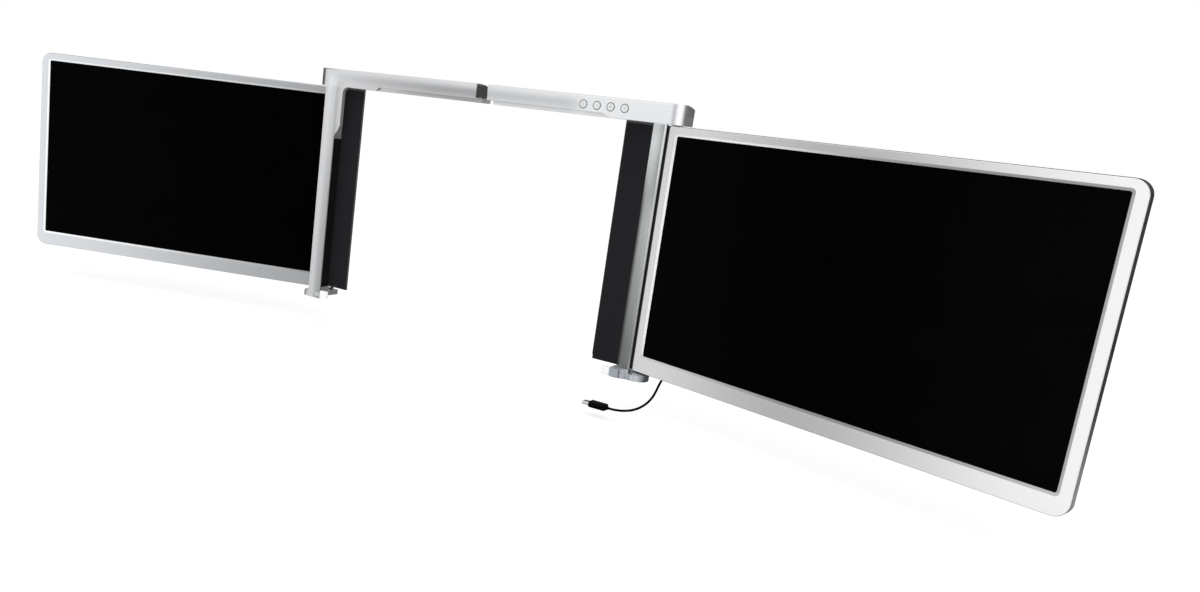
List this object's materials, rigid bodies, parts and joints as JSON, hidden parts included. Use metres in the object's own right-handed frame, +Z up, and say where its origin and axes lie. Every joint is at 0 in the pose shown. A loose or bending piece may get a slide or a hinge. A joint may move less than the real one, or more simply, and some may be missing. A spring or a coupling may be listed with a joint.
{
  "type": "laptop screen extender",
  "caption": "Telescoping bracket that hangs on a laptop lid and carries a hinged flat display on each side, with push buttons on its top bar, corner clips and a short captive lead.",
  "frame": {"origin": "the seat in the top bar that rests on the top edge of the laptop's lid, near the bar's middle, on the left half", "axes": "+X to the user's right along the bar, +Y away from the user, through the lid, +Z up along the lid"},
  "size_m": [1.0653, 0.1495, 0.2657],
  "materials": {
    "silver_frame": "satin silver paint",
    "leg_plate": "brushed along its length",
    "rail": "satin dark grey",
    "dark_casing": "fine matte",
    "back_plate": "matte dark grey",
    "foam": "matte",
    "display": "high gloss black",
    "light_guide": "translucent white",
    "circuit": "solder mask green",
    "steel": "plain",
    "white_pad": "soft matte white",
    "clip_grey": "satin grey",
    "button_white": "satin white",
    "cord_black": "satin",
    "plug_black": "satin",
    "ribbon": "glossy amber film"
  },
  "bodies": {
    "left_frame": {"left_bracket": "silver_frame", "left_back_plate": "back_plate", "left_foam_pad": "foam", "left_edge_rubber": "foam", "left_bar_cover": "silver_frame", "left_bar_screws": "steel", "telescoping_rail": "rail", "rail_screws": "steel", "left_hinge_pins": "steel", "left_washers": "foam"},
    "right_frame": {"right_bracket": "silver_frame", "right_leg_plate": "leg_plate", "right_edge_rubber": "foam", "right_back_plate": "back_plate", "right_foam_pad": "foam", "right_bar_cover": "silver_frame", "right_bar_screws": "steel", "controller_board": "circuit", "button_board": "circuit", "button_domes": "steel", "right_hinge_pins": "steel", "right_washers": "foam", "cord_boot": "cord_black", "cord": "cord_black", "plug_body": "plug_black", "plug_shell": "steel"},
    "left_clip": {"left_clip_tongue": "silver_frame", "left_clip_pad": "white_pad"},
    "left_wing": {"left_bezel": "silver_frame", "left_lcd_panel": "display", "left_backlight": "light_guide", "left_driver_board": "circuit", "left_hinge_barrels": "steel", "left_rear_cover": "dark_casing", "left_side_port": "steel", "left_cover_screws": "steel", "left_flex_lead": "ribbon"},
    "right_clip": {"right_clip_tongue": "clip_grey", "right_clip_pad": "white_pad"},
    "right_wing": {"right_bezel": "silver_frame", "right_lcd_panel": "display", "right_backlight": "light_guide", "right_driver_board": "circuit", "right_hinge_barrels": "steel", "right_rear_cover": "dark_casing", "right_side_port": "steel", "right_cover_screws": "steel", "right_flex_lead": "ribbon"},
    "button_1_body": {"button_1": "button_white"},
    "button_2_body": {"button_2": "button_white"},
    "button_3_body": {"button_3": "button_white"},
    "button_4_body": {"button_4": "button_white"}
  },
  "joints": [
    {"name": "width_slide", "type": "slide", "parent": "left_frame", "child": "right_frame", "axis": [1, 0, 0], "range_m": [-0.012, 0.05]},
    {"name": "right_wing_hinge", "type": "hinge", "parent": "right_frame", "child": "right_wing", "pos_m": [0.2024, 0.0128, -0.1186], "axis": [0, 0, 1], "range_deg": [-39.8, 195.2]},
    {"name": "left_wing_hinge", "type": "hinge", "parent": "left_frame", "child": "left_wing", "pos_m": [-0.1825, 0.0241, -0.1186], "axis": [0, 0, 1], "range_deg": [-202.2, 32.8]},
    {"name": "right_clip_slide", "type": "slide", "parent": "right_frame", "child": "right_clip", "axis": [-1, 0, 0], "range_m": [0, 0.005]},
    {"name": "left_clip_slide", "type": "slide", "parent": "left_frame", "child": "left_clip", "axis": [1, 0, 0], "range_m": [0, 0.005]},
    {"name": "button_1_press", "type": "slide", "parent": "right_frame", "child": "button_1_body", "axis": [0, 1, 0], "range_m": [0, 0.0004], "stiffness_N_per_m": 3000, "springref_m": -0.0001},
    {"name": "button_2_press", "type": "slide", "parent": "right_frame", "child": "button_2_body", "axis": [0, 1, 0], "range_m": [0, 0.0004], "stiffness_N_per_m": 3000, "springref_m": -0.0001},
    {"name": "button_3_press", "type": "slide", "parent": "right_frame", "child": "button_3_body", "axis": [0, 1, 0], "range_m": [0, 0.0004], "stiffness_N_per_m": 3000, "springref_m": -0.0001},
    {"name": "button_4_press", "type": "slide", "parent": "right_frame", "child": "button_4_body", "axis": [0, 1, 0], "range_m": [0, 0.0004], "stiffness_N_per_m": 3000, "springref_m": -0.0001}
  ]
}
